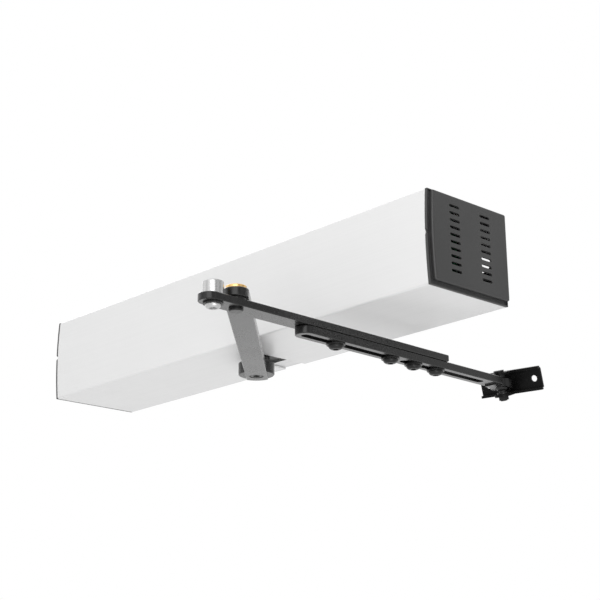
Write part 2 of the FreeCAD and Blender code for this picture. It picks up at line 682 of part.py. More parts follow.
def make_spring_unit():
    frame, stem = along_box("0 - rack_left", "0 - plunger_front")
    left_frame = at("0 - plunger_front", "rod_y", "rod_z", "0; 1; 0", "-90")
    keep(fused(rod("rod_dia / 2", stem, frame),
               rod("tube_dia / 2 - tube_wall - part_gap", "plunger_thick", left_frame)),
         "spring_plunger")

    tube_frame = at("0 - tube_start", "rod_y", "rod_z", "0; 1; 0", "-90")
    keep(turned("tube_body", [
        ("rod_dia / 2 + part_gap", "0"), ("tube_dia / 2", "0"), ("tube_dia / 2", "tube_length"),
        ("tube_dia / 2 - tube_wall", "tube_length"), ("tube_dia / 2 - tube_wall", "4"),
        ("rod_dia / 2 + part_gap", "4")]), "spring_tube", tube_frame)
    keep(turned("plug_body", [
        ("adjuster_dia / 2", "tube_length - plug_thick"),
        ("tube_dia / 2 - tube_wall", "tube_length - plug_thick"),
        ("tube_dia / 2 - tube_wall", "tube_length"),
        ("adjuster_dia / 2", "tube_length")]), "spring_end_plug", tube_frame)
    keep(rod("tube_dia / 2 - tube_wall - part_gap", "seat_thick",
             at("0 - seat_front", "rod_y", "rod_z", "0; 1; 0", "-90")), "spring_seat")
    screw_start = "seat_front + seat_thick + close_gap"
    keep(cut(rod("adjuster_dia / 2", "plug_thick + 8",
                 at("0 - (%s)" % screw_start, "rod_y", "rod_z", "0; 1; 0", "-90")),
             hexagon("5", "5", at("0 - (%s) - plug_thick - 4" % screw_start, "rod_y", "rod_z",
                                  "0; 1; 0", "-90"))), "spring_adjuster")
    make_spring()

    saddles = []
    for start in ("tube_start + 20", "tube_end - 35"):
        block = box("0 - (%s) - 12" % start, "rod_y", "rod_z - tube_dia / 2 + 4", "12",
                    "chassis_front - rod_y", "tube_dia - 8")
        saddles.append(cut(block, rod("tube_dia / 2", "16", at(
            "2 - (%s)" % start, "rod_y", "rod_z", "0; 1; 0", "-90"))))
    keep(group(saddles), "spring_saddles")

    guide_rear = "rack_rear + part_gap"
    base = box("0 - rack_left - 10", "rack_root", "lid_top", "rack_left + 46",
               "rack_back + 5.3", "rack_bottom - lid_top - part_gap")
    wall = box("0 - rack_left - 10", guide_rear, "lid_top", "rack_left + 46", "5",
               "rack_bottom - lid_top + rack_width")
    keep(fused(base, wall), "rack_guide")


def make_spring():
    """The closing spring between the plunger and its seat, as a swept coil."""
    wire, radius = worth("spring_wire / 2"), worth("spring_coil / 2")
    start = worth("plunger_front + plunger_thick") + wire + 0.5
    length = worth("seat_front") - wire - 0.5 - start
    turns = worth("spring_turns")
    helix = Part.makeHelix(length / turns, length, radius)
    rise = Vector(0, radius, length / turns / (2 * math.pi))
    ring_edge = Part.makeCircle(wire, Vector(radius, 0, 0), rise)
    coil = Part.Wire(helix).makePipeShell([Part.Wire(ring_edge)], True, True)
    spring = doc.addObject("Part::Feature", "coil")
    spring.Shape = coil
    keep(spring, "closing_spring",
         at("0 - (%s)" % start, "rod_y", "rod_z", "0; 1; 0", "-90"))


# ---------------------------------------------------------------- electrics

def make_electrics():
    board_low = "0 - board_height / 2 + 2"
    keep(box("board_left", "board_front", board_low, "board_length", "board_thick",
             "board_height"), "control_board")
    corners = [(x, z) for x in ("board_left + 6", "board_left + board_length - 6")
               for z in ("%s + 6" % board_low, "board_height / 2 - 4")]
    keep(group([rod("3", "board_standoff", at(x, "chassis_front", z, "1; 0; 0", "90"))
                for x, z in corners]), "board_standoffs")
    keep(group([rod("9", "28", at("board_left + 24 + %d" % (22 * index), "board_front",
                                  "22", "1; 0; 0", "90")) for index in range(2)]),
         "capacitors")
    keep(group([box("board_left + 14 + %d" % (22 * index), "board_front - 16", "-22", "18",
                    "16", "15") for index in range(3)]), "relays")
    fins = [box("board_left + 78 + %d" % (5 * index), "board_front - 26", "2", "2", "23", "34")
            for index in range(7)]
    keep(fused(box("board_left + 78", "board_front - 4", "2", "32", "4", "34"), *fins),
         "heat_sink")
    terminals = []
    for index in range(2):
        block = box("board_left + 84", "board_front - 11", "%d" % (-34 + 16 * index), "40", "11",
                    "10")
        wells = [rod("1.8", "5", at("board_left + %d" % (89 + 6 * way), "board_front - 7",
                                    "%d" % (-29 + 16 * index), "1; 0; 0", "90"))
                 for way in range(6)]
        terminals.append(cut(block, *wells))
    keep(group(terminals), "terminal_blocks")

    low = "0 - core_height / 2"
    front = "chassis_front - 3 - core_depth"
    left = "0 - core_along - core_width / 2"
    window = box("%s + 11" % left, "%s - 1" % front, "%s + 10" % low, "core_width - 22",
                 "core_depth + 2", "core_height - 20")
    leg = box("0 - core_along - 9", front, low, "18", "core_depth", "core_height")
    core = box(left, front, low, "core_width", "core_depth", "core_height")
    keep(fused(cut(core, window), leg), "transformer_core")
    coil = box("%s + 11.5" % left, "%s - 7" % front, "%s + 10.5" % low, "core_width - 23",
               "core_depth + 9.5", "core_height - 21")
    hole = box("0 - core_along - 9.2", "%s - 8" % front, "%s + 9" % low, "18.4",
               "core_depth + 12", "core_height - 18")
    keep(cut(coil, hole), "transformer_coils")
    keep(group([box(left, "chassis_front - 3", "%s" % z, "core_width", "3", "6")
                for z in (low, "core_height / 2 - 6")]), "transformer_feet")


# ---------------------------------------------------------------- arm

def make_hub():
    half = "hub_dia / 2"
    hub = turned("hub_body", [
        ("spindle_radius", "hub_bottom"), ("%s - 1" % half, "hub_bottom"),
        (half, "hub_bottom + 1"), (half, "hub_top - 1"), ("%s - 1" % half, "hub_top"),
        ("neck_dia / 2", "hub_top"), ("neck_dia / 2", "floor_bottom - 1"),
        ("spindle_radius", "floor_bottom - 1")])
    channel = box("0 - hub_dia", "0 - lever_width / 2", "hub_bottom - 1", "2 * hub_dia",
                  "lever_width", "lever_top - hub_bottom + 1")
    keep(cut(hub, channel), "arm_hub", LEVER)


def make_lever():
    half = "lever_width / 2"
    rim = common(box("0 - hub_dia / 2", "0 - %s" % half, "lever_bottom", "hub_dia / 2 + 1",
                     "lever_width", "lever_thick"),
                 rod("hub_dia / 2", "lever_thick", at("0", "0", "lever_bottom")))
    bar = box("0", "0 - %s" % half, "lever_bottom", "lever_length", "lever_width",
              "lever_thick")
    nose = rod(half, "lever_thick", at("lever_length", "0", "lever_bottom"))
    low, high = worth("lever_bottom"), worth("lever_top")
    blank = broken_edges(fused(rim, bar, nose), "edge_break",
                         lambda edge: level(edge, low, high))
    bush_seat = rod("bush_dia / 2", "lever_thick + 2",
                    at("lever_length", "0", "lever_bottom - 1"))
    screw_seat = hub_screw_solid("hub_screw_seat", "lever_bottom")
    keep(cut(blank, screw_seat, bush_seat), "main_lever", LEVER)
    socket = hexagon("0.8 * hub_screw_dia", "4.4", at("0", "0", "lever_bottom"))
    screw = hub_screw_solid("hub_screw_head", "lever_bottom + hub_screw_land / 2")
    keep(cut(screw, socket), "hub_screw", LEVER)


def hub_screw_solid(head, face):
    """A countersunk screw or its seat: one cone for both, from a head's width and its face."""
    stem = "hub_screw_dia / 2"
    cone = "lever_bottom + hub_screw_land + (hub_screw_seat - %s) / 2"
    top = "spindle_bottom + hub_screw_reach"
    return turned("hub_screw_body", [
        ("0", face), ("%s / 2" % head, face), ("%s / 2" % head, cone % head),
        (stem, cone % "hub_screw_dia"), (stem, top), ("0", top)])


def make_elbow():
    frame = LEVER + " * " + at("lever_length", "0", "0")
    inner = "elbow_pin_dia / 2 + running_fit"
    collar_top = "lever_top + bush_collar_rise"
    keep(turned("bush_body", [
        (inner, "lever_bottom"), ("bush_dia / 2", "lever_bottom"), ("bush_dia / 2", "lever_top"),
        ("bush_collar_dia / 2", "lever_top"), ("bush_collar_dia / 2", "%s - 0.6" % collar_top),
        ("bush_collar_dia / 2 - 0.6", collar_top), ("bush_dia / 2", collar_top),
        ("bush_dia / 2", "%s - 2.4" % collar_top), (inner, "%s - 2.4" % collar_top)]),
        "elbow_bush", frame)

    head_low = "link_bottom - pin_head_rise"
    stem = "elbow_pin_dia / 2"
    keep(turned("pin_body", [
        ("0", head_low), ("pin_head_dia / 2 - 0.8", head_low),
        ("pin_head_dia / 2", "%s + 0.8" % head_low), ("pin_head_dia / 2", "link_bottom"),
        (stem, "link_bottom"), (stem, "%s - 0.8" % collar_top),
        ("0", "%s - 0.8" % collar_top)]), "elbow_pin", LINK)
    keep(ring("spacer_body", stem, "spacer_dia / 2", "link_top",
              "elbow_spacer_rise - close_gap"), "elbow_spacer", LINK)
    keep(ring("clip_body", stem, "bush_dia / 2 - 0.6", "%s - 2.2" % collar_top, "1"),
         "elbow_clip", LINK)


def make_link():
    half = "bar_width / 2"
    bar = box("0 - link_tail", "0 - %s" % half, "link_bottom", "link_reach + link_tail",
              "bar_width", "bar_thick")
    tail = rod(half, "bar_thick", at("0 - link_tail", "0", "link_bottom"))
    low, high = worth("link_bottom"), worth("link_top")
    blank = broken_edges(fused(bar, tail), "edge_break", lambda edge: level(edge, low, high))
    holes = [rod(radius, "bar_thick + 2", at(x, "0", "link_bottom - 1")) for x, radius in
             [("0", "elbow_pin_dia / 2"), ("0 - post_back", "post_screw_dia / 2")]
             + [(x, "clamp_dia / 2") for x in CLAMPS]]
    keep(cut(blank, *holes), "link_bar", LINK)

    post_top = "link_top + post_rise"
    back = LINK + " * " + at("0 - post_back", "0", "0")
    keep(turned("post_body", [
        ("0", "link_top + 8"), ("post_screw_dia / 2", "link_top + 8"),
        ("post_screw_dia / 2", "link_top"), ("post_dia / 2", "link_top"),
        ("post_dia / 2", "%s - 0.8" % post_top), ("post_dia / 2 - 0.8", post_top),
        ("0", post_top)]), "stop_post", back)
    keep(ring("post_washer_body", "post_screw_dia / 2", "post_washer_dia / 2",
              "link_bottom - washer_thick", "washer_thick"), "post_washer", back)
    keep(button_screw("post_screw_dia", "post_screw_head", "button_rise",
                      "washer_thick + bar_thick + 8",
                      back + " * " + at("0", "0", "link_bottom - washer_thick", "1; 0; 0", "180")),
         "post_screw")


CLAMPS = ("clamp_first", "clamp_second", "clamp_third", "clamp_fourth")


def make_clamps():
    washer_low = "washer_top - washer_thick"
    screws = [button_screw("clamp_dia", "clamp_head", "clamp_head_rise",
                           "link_top - (%s)" % washer_low,
                           at(x, "0", washer_low, "1; 0; 0", "180")) for x in CLAMPS]
    keep(group(screws), "clamp_screws", LINK)
    washers = [seat(ring("clamp_washer_body", "clamp_dia / 2", "clamp_washer_dia / 2",
                         washer_low, "washer_thick"), at(x, "0", "0")) for x in CLAMPS]
    keep(group(washers), "clamp_washers", LINK)


def stadium(start, length, width, low, thick):
    """A round-ended bar or slot along X, from its end points and its width."""
    half = "(%s) / 2" % width
    return fused(
        box("%s + %s" % (start, half), "0 - %s" % half, low, "%s - (%s)" % (length, width),
            width, thick),
        rod(half, thick, at("%s + %s" % (start, half), "0", low)),
        rod(half, thick, at("%s + %s - %s" % (start, length, half), "0", low)))


def make_slotted_bar():
    half = "slotted_width / 2"
    reach = "ball_reach - slotted_start - eye_dia / 2"
    bar = box("slotted_start + %s" % half, "0 - %s" % half, "slotted_bottom",
              "%s - %s + 1.5" % (reach, half), "slotted_width", "slotted_thick")
    nose = rod(half, "slotted_thick", at("slotted_start + %s" % half, "0", "slotted_bottom"))
    low, high = worth("slotted_bottom"), worth("slotted_top")
    blank = broken_edges(fused(bar, nose), "edge_break", lambda edge: level(edge, low, high))
    eye = rod("eye_dia / 2", "eye_thick", at("ball_reach", "0", "ball_z - eye_thick / 2"))
    neck = box("ball_reach - eye_dia / 2 - 9", "-8", "ball_z - eye_thick / 2", "14", "16",
               "eye_thick")
    slots = [stadium(start, "slot_length", "slot_width", "slotted_bottom - 1",
                     "slotted_thick + 2") for start in ("slot_start", "second_slot")]
    socket = doc.addObject("Part::Sphere", "socket")
    tie(socket, Radius="ball_dia / 2 + close_gap")
    seat(socket, at("ball_reach", "0", "ball_z"))
    keep(cut(fused(blank, neck, eye), socket, *slots), "slotted_bar", LINK)


# ---------------------------------------------------------------- ball end and bracket

def make_ball():
    inside = "bracket_height / 2 - bracket_wall - part_gap"
    ball = doc.addObject("Part::Sphere", "ball")
    tie(ball, Radius="ball_dia / 2")
    collar = rod("ball_collar / 2", "2 * (%s)" % inside, at("0", "0", "0 - (%s)" % inside))
    bore = rod("pivot_bolt_dia / 2", "bracket_height", at("0", "0", "0 - bracket_height / 2"))
    feet = [rod("collar_foot_dia / 2", "collar_foot_rise", at("0", "0", low))
            for low in ("0 - (%s)" % inside, "%s - collar_foot_rise" % inside)]
    keep(cut(fused(ball, collar, *feet), bore), "pivot_ball", BALL)
    under = "0 - bracket_height / 2 - part_gap"
    end = "%s - pivot_nut_rise - 1" % under
    stem = rod("pivot_bolt_dia / 2", "bracket_height / 2 + part_gap + 1 - (%s)" % end,
               at("0", "0", end))
    head = rod("pivot_bolt_dia * 0.8", "2.6", at("0", "0", "bracket_height / 2 + part_gap"))
    keep(fused(stem, head), "pivot_bolt", BALL)
    nut = hexagon("pivot_nut_flats", "pivot_nut_rise", at("0", "0", "%s - pivot_nut_rise" % under))
    keep(cut(nut, rod("pivot_bolt_dia / 2", "pivot_nut_rise + 2", at("0", "0", end))),
         "pivot_nut", BALL)


def make_bracket():
    half_length, half_height = "bracket_length / 2", "bracket_height / 2"
    left = "bracket_offset - %s" % half_length
    web = box(left, "bracket_standoff", "0 - %s" % half_height, "bracket_length",
              "bracket_wall", "bracket_height")
    rear = worth("bracket_standoff + bracket_wall")
    corner_x = (worth(left), worth("bracket_offset + bracket_length / 2"))

    def corner(edge):
        box_of_edge = edge.BoundBox
        upright = box_of_edge.XLength < 1e-6 and box_of_edge.ZLength < 1e-6
        return upright and abs(box_of_edge.YMax - rear) < 1e-6 \
            and any(abs(box_of_edge.XMin - x) < 1e-6 for x in corner_x)

    web = broken_edges(web, "bracket_corner", corner)
    flanges = []
    ears = []
    for low in ("0 - %s" % half_height, "%s - bracket_wall" % half_height):
        flanges.append(box(left, "bracket_standoff - bracket_flange", low, "bracket_length",
                           "bracket_flange", "bracket_wall"))
        ears.append(box("0 - ear_width / 2", "0", low, "ear_width", "bracket_standoff",
                        "bracket_wall"))
        ears.append(rod("ear_width / 2", "bracket_wall", at("0", "0", low)))
    bolt_hole = rod("pivot_bolt_dia / 2 + running_fit", "bracket_height + 2",
                    at("0", "0", "0 - %s - 1" % half_height))
    door_holes = [rod("door_hole / 2", "bracket_wall + 2",
                      at("bracket_offset %s door_hole_span / 2" % sign,
                         "bracket_standoff + bracket_wall + 1", "0", "1; 0; 0", "90"))
                  for sign in "+-"]
    keep(cut(fused(web, *flanges, *ears), bolt_hole, *door_holes), "door_bracket", BALL)


def check_and_write():
    doc.removeObject(probe.Name)
    doc.recompute()
    for thing in doc.Objects:
        if any(word in thing.State for word in ("Invalid", "Error")):
            raise RuntimeError("%s (%s) failed: %s" % (thing.Label, thing.Name, thing.State))
    for thing in sub_parts:
        if thing.Shape.isNull() or not thing.Shape.isValid():
            raise RuntimeError(thing.Label + " has no valid shape")
    os.makedirs("parts", exist_ok=True)
    for thing in sub_parts:
        thing.Shape.exportStep("parts/%s.step" % thing.Label)


make_cover()
make_caps()
make_back_plate()
make_gearbox()
make_gears()
make_motor()
make_rack()
make_spring_unit()
make_electrics()
make_hub()
make_lever()
make_elbow()
make_link()
make_clamps()
make_slotted_bar()
make_ball()
make_bracket()
check_and_write()
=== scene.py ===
import json
import math

import bpy
from mathutils import Matrix, Vector

# A powered swing-door closer: a silver box with dark end caps, and a black push arm below it.
# Metres. The wall is Y = 0, the room is towards -Y, and the arm's spindle is at X = 0.

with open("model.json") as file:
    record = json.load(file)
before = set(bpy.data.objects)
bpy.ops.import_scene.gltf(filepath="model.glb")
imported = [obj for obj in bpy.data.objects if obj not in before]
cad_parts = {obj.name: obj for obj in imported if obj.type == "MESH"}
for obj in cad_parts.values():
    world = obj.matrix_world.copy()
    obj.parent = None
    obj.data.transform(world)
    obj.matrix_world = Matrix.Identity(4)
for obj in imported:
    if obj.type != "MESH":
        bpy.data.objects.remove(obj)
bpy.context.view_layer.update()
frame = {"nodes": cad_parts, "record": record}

MM = 0.001


# ---------------------------------------------------------------- node helpers

# A Mix node's sockets for colours have the same names as its others, so they go by number.
MIX_FACTOR = 0
MIX_FIRST_COLOUR = 6
MIX_SECOND_COLOUR = 7
MIX_COLOUR_OUT = 2


def add(tree, kind, settings=None, **inputs):
    """A node with its settings, and its named inputs linked or set."""
    made = tree.nodes.new(kind)
    for name, value in (settings or {}).items():
        setattr(made, name, value)
    for name, value in inputs.items():
        join(tree, value, made.inputs[name.replace("_", " ")])
    return made


def join(tree, value, socket):
    """Links an output to an input, or sets the input to a plain value."""
    if isinstance(value, bpy.types.NodeSocket):
        tree.links.new(value, socket)
    else:
        socket.default_value = value


def maths(tree, operation, *values):
    made = add(tree, "ShaderNodeMath", {"operation": operation})
    for socket, value in zip(made.inputs, values):
        join(tree, value, socket)
    return made.outputs[0]


def vector_maths(tree, operation, *values):
    made = add(tree, "ShaderNodeVectorMath", {"operation": operation})
    for socket, value in zip(made.inputs, values):
        join(tree, value, socket)
    return made


def mixed(tree, factor, first, second):
    """A colour between two, by a mask."""
    made = add(tree, "ShaderNodeMix", {"data_type": "RGBA"})
    join(tree, factor, made.inputs[MIX_FACTOR])
    join(tree, first, made.inputs[MIX_FIRST_COLOUR])
    join(tree, second, made.inputs[MIX_SECOND_COLOUR])
    return made.outputs[MIX_COLOUR_OUT]


def spread(tree, value, low, high, to_low=0.0, to_high=1.0):
    """Maps a value's stretch from low to high onto another stretch, smoothly, and clamps it."""
    made = add(tree, "ShaderNodeMapRange", {"interpolation_type": "SMOOTHSTEP"},
               Value=value, From_Min=low, From_Max=high, To_Min=to_low, To_Max=to_high)
    return made.outputs[0]


def noise(tree, place, scale, detail=3.0, roughness=0.5):
    return add(tree, "ShaderNodeTexNoise", Vector=place, Scale=scale, Detail=detail,
               Roughness=roughness).outputs[0]


def new_group(name, inputs, outputs):
    """An empty node group with its sockets, and its input and output nodes."""
    tree = bpy.data.node_groups.new(name, "ShaderNodeTree")
    kinds = {float: "NodeSocketFloat", tuple: "NodeSocketVector"}
    for label, default in inputs:
        socket = tree.interface.new_socket(label, in_out="INPUT",
                                           socket_type=kinds[type(default)])
        socket.default_value = default
    for label, kind in outputs:
        tree.interface.new_socket(label, in_out="OUTPUT", socket_type=kind)
    return tree, tree.nodes.new("NodeGroupInput").outputs, tree.nodes.new("NodeGroupOutput").inputs


def place_group(tree, group, **inputs):
    return add(tree, "ShaderNodeGroup", {"node_tree": group}, **inputs).outputs


def opaque(colour):
    return colour + (1.0,)


def grey(level, warmth=0.0):
    return (level * (1 + warmth), level, level * (1 - warmth))


# ---------------------------------------------------------------- shared effects

BEVEL_SAMPLES = 6
HEIGHT_AND_TONE = (("Height", "NodeSocketFloat"), ("Tone", "NodeSocketFloat"))


def make_worn_edges():
    """Rounds the edges' shading, and finds where handling wears them through."""
    tree, given, out = new_group(
        "worn edges", (("Place", (0.0, 0.0, 0.0)), ("Rounding", 0.0005), ("Wear", 0.5)),
        (("Mask", "NodeSocketFloat"), ("Normal", "NodeSocketVector")))
    rounded = add(tree, "ShaderNodeBevel", {"samples": BEVEL_SAMPLES},
                  Radius=given["Rounding"])
    true = add(tree, "ShaderNodeNewGeometry")
    facing = vector_maths(tree, "DOT_PRODUCT", rounded.outputs[0], true.outputs["Normal"])
    turn = spread(tree, facing.outputs["Value"], low=0.99, high=0.80)
    blotches = noise(tree, given["Place"], scale=160.0, detail=4.0, roughness=0.6)
    patches = spread(tree, blotches, low=0.42, high=0.62)
    worn = maths(tree, "MULTIPLY", turn, patches)
    tree.links.new(maths(tree, "MULTIPLY", worn, given["Wear"]), out["Mask"])
    tree.links.new(rounded.outputs[0], out["Normal"])
    return tree


def make_handling_marks():
    """Broad, faint smears left by hands."""
    tree, given, out = new_group(
        "handling marks", (("Place", (0.0, 0.0, 0.0)),), (("Smears", "NodeSocketFloat"),))
    blotches = noise(tree, given["Place"], scale=14.0, detail=5.0, roughness=0.62)
    smears = spread(tree, blotches, low=0.40, high=0.70)
    tree.links.new(smears, out["Smears"])
    return tree


def make_settled_dust():
    """A thin, patchy film of dust on what faces up."""
    tree, given, out = new_group(
        "settled dust", (("Place", (0.0, 0.0, 0.0)), ("Amount", 0.3)),
        (("Mask", "NodeSocketFloat"),))
    true = add(tree, "ShaderNodeNewGeometry")
    up = add(tree, "ShaderNodeSeparateXYZ", Vector=true.outputs["Normal"]).outputs["Z"]
    blotches = noise(tree, given["Place"], scale=45.0, detail=6.0, roughness=0.65)
    patches = spread(tree, blotches, low=0.35, high=0.75, to_low=0.3)
    film = maths(tree, "MULTIPLY", spread(tree, up, low=0.5, high=0.95), patches)
    tree.links.new(maths(tree, "MULTIPLY", film, given["Amount"]), out["Mask"])
    return tree


LINE_STRETCH = (0.9, 260.0, 260.0)
LINE_SHARE = 0.6


def make_drawn_lines():
    """Fine lines along X, as a die leaves on an extrusion, under a bead-blasted grain."""
    tree, given, out = new_group(
        "drawn lines", (("Place", (0.0, 0.0, 0.0)), ("Scale", 1.0)), HEIGHT_AND_TONE)
    stretched = vector_maths(tree, "MULTIPLY", given["Place"], LINE_STRETCH)
    scaled = add(tree, "ShaderNodeVectorMath", {"operation": "SCALE"},
                 Vector=stretched.outputs[0], Scale=given["Scale"])
    lines = noise(tree, scaled.outputs[0], scale=3.0, roughness=0.6)
    grain = noise(tree, given["Place"], scale=2600.0, detail=2.0)
    height = maths(tree, "ADD", maths(tree, "MULTIPLY", lines, LINE_SHARE),
                   maths(tree, "MULTIPLY", grain, 1.0 - LINE_SHARE))
    tree.links.new(height, out["Height"])
    tree.links.new(spread(tree, lines, low=0.35, high=0.68), out["Tone"])
    return tree


PEBBLE_SHARE = 0.5


def make_orange_peel():
    """The soft, pebbled skin of a powder coat."""
    tree, given, out = new_group(
        "orange peel", (("Place", (0.0, 0.0, 0.0)), ("Scale", 700.0)), HEIGHT_AND_TONE)
    pebbles = add(tree, "ShaderNodeTexVoronoi", {"feature": "SMOOTH_F1"}, Vector=given["Place"],
                  Scale=given["Scale"])
    soft = noise(tree, given["Place"], scale=220.0)
    domes = maths(tree, "MULTIPLY", pebbles.outputs["Distance"], -PEBBLE_SHARE)
    tree.links.new(maths(tree, "ADD", domes, soft), out["Height"])
    tree.links.new(spread(tree, soft, low=0.35, high=0.68), out["Tone"])
    return tree


PIT_SHARE = 0.8


def make_moulded_grain():
    """The etched leather-fine texture of a moulded plastic part."""
    tree, given, out = new_group(
        "moulded grain", (("Place", (0.0, 0.0, 0.0)), ("Scale", 1500.0)), HEIGHT_AND_TONE)
    pits = add(tree, "ShaderNodeTexVoronoi", {"feature": "F1"}, Vector=given["Place"],
               Scale=given["Scale"])
    fine = noise(tree, given["Place"], scale=2400.0, roughness=0.6)
    flow = noise(tree, given["Place"], scale=9.0, detail=4.0, roughness=0.55)
    etched = maths(tree, "MULTIPLY", pits.outputs["Distance"], PIT_SHARE)
    tree.links.new(maths(tree, "ADD", etched, fine), out["Height"])
    tree.links.new(spread(tree, flow, low=0.35, high=0.65), out["Tone"])
    return tree


def make_turning_rings():
    """Fine rings round the upright middle line of a turned piece's own box."""
    tree, given, out = new_group(
        "turning rings", (("Place", (0.0, 0.0, 0.0)), ("Scale", 60.0)), HEIGHT_AND_TONE)
    own = add(tree, "ShaderNodeTexCoord").outputs["Generated"]
    centred = vector_maths(tree, "SUBTRACT", own, (0.5, 0.5, 0.0))
    flat = vector_maths(tree, "MULTIPLY", centred.outputs[0], (1.0, 1.0, 0.0))
    radius = vector_maths(tree, "LENGTH", flat.outputs[0]).outputs["Value"]
    up = add(tree, "ShaderNodeSeparateXYZ", Vector=own).outputs["Z"]
    along = add(tree, "ShaderNodeCombineXYZ", X=radius, Y=0.0, Z=up).outputs[0]
    rings = noise(tree, along, given["Scale"], roughness=0.7)
    tree.links.new(rings, out["Height"])
    tree.links.new(spread(tree, rings, low=0.35, high=0.65), out["Tone"])
    return tree


def make_cast_skin():
    """The sandy skin of a casting, with shallow flow marks."""
    tree, given, out = new_group(
        "cast skin", (("Place", (0.0, 0.0, 0.0)), ("Scale", 420.0)), HEIGHT_AND_TONE)
    sand = noise(tree, given["Place"], given["Scale"], detail=6.0, roughness=0.7)
    flow = noise(tree, given["Place"], scale=60.0)
    tree.links.new(maths(tree, "ADD", sand, flow), out["Height"])
    tree.links.new(spread(tree, flow, low=0.3, high=0.7), out["Tone"])
    return tree


WORN_EDGES = make_worn_edges()
HANDLING_MARKS = make_handling_marks()
SETTLED_DUST = make_settled_dust()
DRAWN_LINES = make_drawn_lines()
ORANGE_PEEL = make_orange_peel()
MOULDED_GRAIN = make_moulded_grain()
TURNING_RINGS = make_turning_rings()
CAST_SKIN = make_cast_skin()

DUST = (0.52, 0.50, 0.47)
DUST_ROUGHENS = 0.5
SMEAR_SHARE = 0.6
BARE_STEEL = (0.56, 0.55, 0.54)
COAT_ROUGHNESS = 0.22


def finish(name, skin, scale, depth, base, tone, edge, roughness, metallic=0.0,
           rounding=0.4 * MM, wear=0.5, dust=0.12, bare_metal=False, coat=0.0, ior=1.5):
    """A finish: a skin's grain over two close tones, softened edges, smears and dust.

    Scale and depth, in metres, are the grain's. Base and tone are the two tones, and edge is
    the colour that shows where wear has gone through. Roughness is its lowest and highest
    value. With bare_metal the worn edges are metal, and metallic isn't used."""
    material = bpy.data.materials.new(name)
    material.use_nodes = True
    tree = material.node_tree
    shader = tree.nodes["Principled BSDF"]
    place = add(tree, "ShaderNodeTexCoord").outputs["Object"]
    grain = place_group(tree, skin, Place=place, Scale=scale)
    edges = place_group(tree, WORN_EDGES, Place=place, Rounding=rounding, Wear=wear)
    marks = place_group(tree, HANDLING_MARKS, Place=place)
    film = place_group(tree, SETTLED_DUST, Place=place, Amount=dust)
    two_tone = mixed(tree, grain["Tone"], opaque(base), opaque(tone))
    worn = mixed(tree, edges["Mask"], two_tone, opaque(edge))
    dusty = mixed(tree, film["Mask"], worn, opaque(DUST))
    tree.links.new(dusty, shader.inputs["Base Color"])
    uneven = maths(tree, "MULTIPLY_ADD", marks["Smears"], SMEAR_SHARE,
                   maths(tree, "MULTIPLY", grain["Tone"], 1.0 - SMEAR_SHARE))
    rough = spread(tree, uneven, 0.0, 1.0, *roughness)
    tree.links.new(maths(tree, "MULTIPLY_ADD", film["Mask"], DUST_ROUGHENS, rough),
                   shader.inputs["Roughness"])
    if bare_metal:
        tree.links.new(edges["Mask"], shader.inputs["Metallic"])
    else:
        shader.inputs["Metallic"].default_value = metallic
    shader.inputs["IOR"].default_value = ior
    shader.inputs["Coat IOR"].default_value = ior
    shader.inputs["Coat Weight"].default_value = coat
    shader.inputs["Coat Roughness"].default_value = COAT_ROUGHNESS
    bump = add(tree, "ShaderNodeBump", Strength=1.0, Distance=depth, Height=grain["Height"],
               Normal=edges["Normal"])
    tree.links.new(bump.outputs[0], shader.inputs["Normal"])
    return material


# ---------------------------------------------------------------- finishes

def silver_cover():
    """Satin silver anodising on a smooth extrusion."""
    return finish("silver_anodising", DRAWN_LINES, scale=1.0, depth=0.002 * MM, base=grey(0.665),
                  tone=grey(0.655), edge=grey(0.76), metallic=0.15, roughness=(0.32, 0.42),
                  rounding=0.5 * MM, wear=0.35, dust=0.1)


def mill_aluminium():
    """The chassis extrusion, as it leaves the die."""
    return finish("mill_aluminium", DRAWN_LINES, scale=0.6, depth=0.012 * MM, base=grey(0.74),
                  tone=grey(0.66), edge=grey(0.85), metallic=1.0, roughness=(0.34, 0.52))


def cap_plastic():
    return finish("cap_plastic", MOULDED_GRAIN, scale=1500.0, depth=0.02 * MM, base=grey(0.03),
                  tone=grey(0.036), edge=grey(0.056), roughness=(0.38, 0.52), rounding=0.6 * MM,
                  wear=0.25, dust=0.1)


def cast_aluminium():
    return finish("cast_aluminium", CAST_SKIN, scale=420.0, depth=0.05 * MM, base=grey(0.52),
                  tone=grey(0.44), edge=grey(0.72), metallic=0.9, roughness=(0.42, 0.62),
                  rounding=0.8 * MM)


# Painted shade: the gearbox housing is coloured near-black so the inside of the slot behind the
# arm's hub looks shaded.
def gearbox_painted_shade():
    return finish("gearbox_painted_shade", CAST_SKIN, scale=420.0, depth=0.05 * MM, base=grey(0.02),
                  tone=grey(0.03), edge=grey(0.1), roughness=(0.4, 0.6), rounding=0.8 * MM)


def ground_steel():
    return finish("ground_steel", TURNING_RINGS, scale=60.0, depth=0.006 * MM,
                  base=grey(0.6, 0.01), tone=grey(0.52, 0.01), edge=grey(0.75), metallic=1.0,
                  roughness=(0.2, 0.34))


def polished_steel():
    return finish("polished_steel", TURNING_RINGS, scale=45.0, depth=0.0003 * MM, base=grey(0.54),
                  tone=grey(0.5), edge=grey(0.6), metallic=1.0, roughness=(0.24, 0.32),
                  rounding=2.5 * MM, wear=0.1, dust=0.05)


def gear_steel():
    return finish("gear_steel", CAST_SKIN, scale=900.0, depth=0.008 * MM, base=grey(0.4, 0.02),
                  tone=grey(0.32, 0.03), edge=grey(0.62), metallic=1.0, roughness=(0.22, 0.4),
                  dust=0.0)


def motor_plating():
    return finish("motor_plating", CAST_SKIN, scale=300.0, depth=0.01 * MM, base=grey(0.05),
                  tone=grey(0.07), edge=grey(0.4), metallic=0.6, roughness=(0.28, 0.46))


def rotor_steel():
    return finish("rotor_steel", TURNING_RINGS, scale=120.0, depth=0.05 * MM,
                  base=grey(0.22, 0.03), tone=grey(0.12, 0.03), edge=grey(0.4), metallic=0.9,
                  roughness=(0.36, 0.56), dust=0.05)


